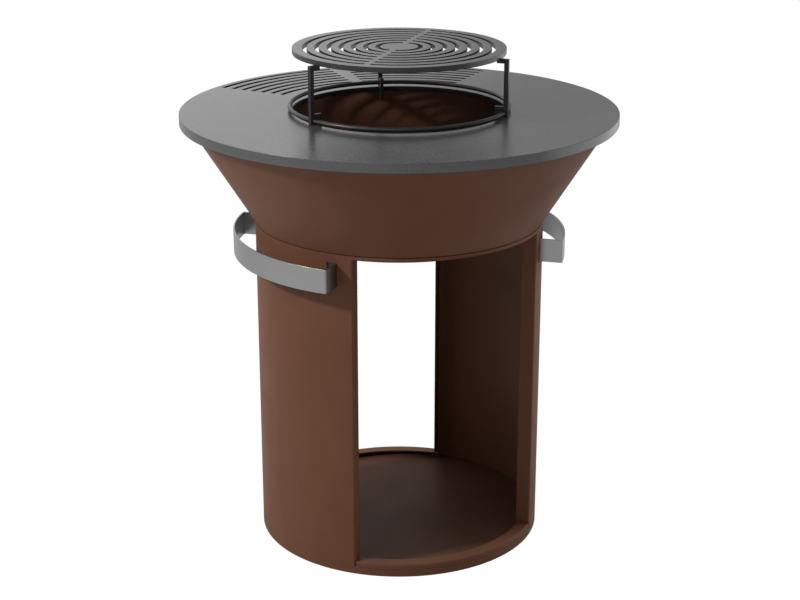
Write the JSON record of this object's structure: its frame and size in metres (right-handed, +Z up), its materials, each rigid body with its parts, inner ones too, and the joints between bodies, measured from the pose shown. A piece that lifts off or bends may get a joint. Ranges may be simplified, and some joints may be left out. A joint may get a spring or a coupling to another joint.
{
  "type": "fire plate barbecue grill",
  "caption": "Round storage base with two windows and side handles, conical fire bowl, ring-shaped cooking plate with a slotted grill section, and a raised cooking grate.",
  "frame": {"origin": "on the ground at the centre of the round base, under the vertical axis of the barbecue", "axes": "+Z up; the front window faces -Y and the rear window +Y; the two handles lie at -X and +X"},
  "size_m": [0.9999, 1, 1.1605],
  "materials": {
    "weathering_steel": "matte rust-brown patina",
    "dark_weathering_steel": "matte dark rust-brown patina",
    "stainless_strip": "satin",
    "plate_steel": "dark satin",
    "black_steel": "satin black",
    "grate_iron": "dark satin"
  },
  "bodies": {
    "base": {"base_bottom_ring": "weathering_steel", "left_side_panel": "weathering_steel", "right_side_panel": "weathering_steel", "front_sill": "weathering_steel", "rear_sill": "weathering_steel", "floor_tray": "dark_weathering_steel", "base_top_ring": "weathering_steel", "left_handle": "stainless_strip", "right_handle": "stainless_strip"},
    "bowl": {"bowl_cone": "weathering_steel", "bowl_floor": "dark_weathering_steel", "bowl_centring_ring": "dark_weathering_steel"},
    "plate": {"fire_plate": "plate_steel", "plate_rim_hoop": "plate_steel"},
    "trivet": {"trivet_ring": "black_steel", "right_trivet_leg": "black_steel", "rear_trivet_leg": "black_steel", "left_trivet_leg": "black_steel", "right_grate_rest": "black_steel", "rear_grate_rest": "black_steel", "left_grate_rest": "black_steel", "right_trivet_fin": "black_steel", "rear_trivet_fin": "black_steel", "left_trivet_fin": "black_steel"},
    "grate": {"cooking_grate": "grate_iron"}
  },
  "joints": [
    {"name": "bowl_lift", "type": "slide", "parent": "base", "child": "bowl", "axis": [0, 0, 1], "range_m": [0, 0.3]},
    {"name": "plate_lift", "type": "slide", "parent": "bowl", "child": "plate", "axis": [0, 0, 1], "range_m": [0, 0.2]},
    {"name": "trivet_lift", "type": "slide", "parent": "plate", "child": "trivet", "axis": [0, 0, 1], "range_m": [0, 0.15]},
    {"name": "grate_lift", "type": "slide", "parent": "trivet", "child": "grate", "axis": [0, 0, 1], "range_m": [0, 0.15]}
  ]
}
